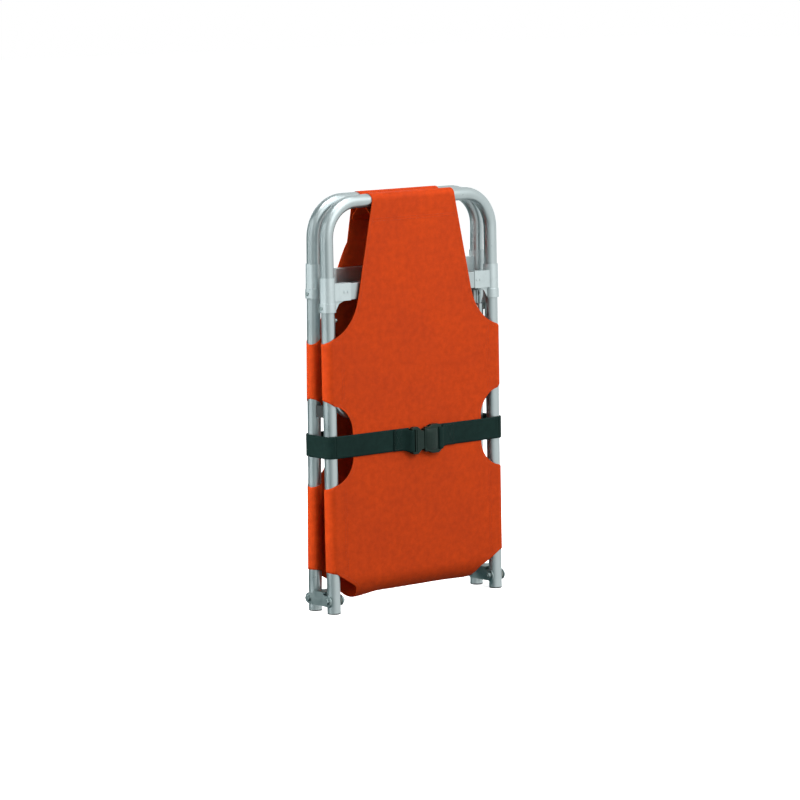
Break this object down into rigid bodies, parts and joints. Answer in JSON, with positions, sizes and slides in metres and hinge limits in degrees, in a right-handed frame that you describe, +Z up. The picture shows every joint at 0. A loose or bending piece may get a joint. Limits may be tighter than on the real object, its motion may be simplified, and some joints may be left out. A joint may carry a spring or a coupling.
{
  "type": "folding stretcher",
  "caption": "Two-fold canvas stretcher with a tubular frame, folded flat at its middle hinge, with swing-out legs and a buckled strap round it.",
  "frame": {"origin": "on the floor under the folded stretcher, midway between the rails and midway through the depth", "axes": "+Z up towards the handle bars, -Y towards the front panel with the buckle, +X to its right"},
  "size_m": [0.5306, 0.1093, 0.9367],
  "materials": {
    "rail_tube": "drawn tube, satin",
    "cast_sleeve": "die cast, fine blasted",
    "zinc_steel": "bright zinc plate",
    "canvas": "coated orange canvas, matt",
    "webbing": "woven black webbing",
    "buckle_plastic": "moulded, slightly glossy",
    "plug_plastic": "moulded grey",
    "nylon": "natural nylon",
    "rubber": "matt black"
  },
  "bodies": {
    "hinge_links": {"hinge_link_left": "zinc_steel", "hinge_link_right": "zinc_steel", "hinge_bolts": "zinc_steel", "hinge_nuts": "zinc_steel", "hinge_washers": "nylon", "canvas_fold": "canvas"},
    "front_half": {"front_frame_tube": "rail_tube", "front_rail_end_plugs": "plug_plastic", "front_crossbar": "rail_tube", "front_crossbar_rivets": "cast_sleeve", "front_sleeve_left": "cast_sleeve", "front_sleeve_right": "cast_sleeve", "front_sleeve_screws": "zinc_steel", "front_leg_pivot_bolts": "zinc_steel", "front_leg_pivot_nuts": "zinc_steel", "front_leg_pivot_washers": "nylon", "front_canvas": "canvas", "rail_buffers": "rubber", "strap_front_left": "webbing", "strap_front_right": "webbing", "strap_back": "webbing", "buckle_socket": "buckle_plastic", "buckle_plug": "buckle_plastic"},
    "rear_half": {"rear_frame_tube": "rail_tube", "rear_rail_end_plugs": "plug_plastic", "rear_crossbar": "rail_tube", "rear_crossbar_rivets": "cast_sleeve", "rear_sleeve_left": "cast_sleeve", "rear_sleeve_right": "cast_sleeve", "rear_sleeve_screws": "zinc_steel", "rear_leg_pivot_bolts": "zinc_steel", "rear_leg_pivot_nuts": "zinc_steel", "rear_leg_pivot_washers": "nylon", "rear_canvas": "canvas"},
    "front_leg": {"front_leg_tube": "rail_tube", "front_leg_feet": "rubber"},
    "rear_leg": {"rear_leg_tube": "rail_tube", "rear_leg_feet": "rubber"},
    "buckle_upper_catch": {"buckle_catch_upper": "buckle_plastic"},
    "buckle_lower_catch": {"buckle_catch_lower": "buckle_plastic"}
  },
  "joints": [
    {"name": "front_fold", "type": "hinge", "parent": "hinge_links", "child": "front_half", "pos_m": [0, -0.0274, 0.03], "axis": [1, 0, 0], "range_deg": [0, 90.7], "deforming": ["canvas_fold", "strap_back"]},
    {"name": "rear_fold", "type": "hinge", "parent": "hinge_links", "child": "rear_half", "pos_m": [0, 0.0386, 0.03], "axis": [-1, 0, 0], "range_deg": [0, 90.7], "deforming": ["canvas_fold", "strap_back"]},
    {"name": "front_leg_swing", "type": "hinge", "parent": "front_half", "child": "front_leg", "pos_m": [0, -0.00377, 0.65476], "axis": [1, 0, 0], "range_deg": [0, 90.7]},
    {"name": "rear_leg_swing", "type": "hinge", "parent": "rear_half", "child": "rear_leg", "pos_m": [0, 0.01461, 0.68376], "axis": [-1, 0, 0], "range_deg": [0, 90.7]},
    {"name": "buckle_upper_press", "type": "slide", "parent": "front_half", "child": "buckle_upper_catch", "axis": [0, -0.0122, -0.9999], "range_m": [0, 0.0025], "stiffness_N_per_m": 1200},
    {"name": "buckle_lower_press", "type": "slide", "parent": "front_half", "child": "buckle_lower_catch", "axis": [0, 0.0122, 0.9999], "range_m": [0, 0.0025], "stiffness_N_per_m": 1200}
  ],
  "couplings": [
    {"joint": "rear_fold", "follows": "front_fold", "ratio": 1},
    {"joint": "front_leg_swing", "follows": "front_fold", "ratio": 1},
    {"joint": "rear_leg_swing", "follows": "front_fold", "ratio": 1}
  ]
}
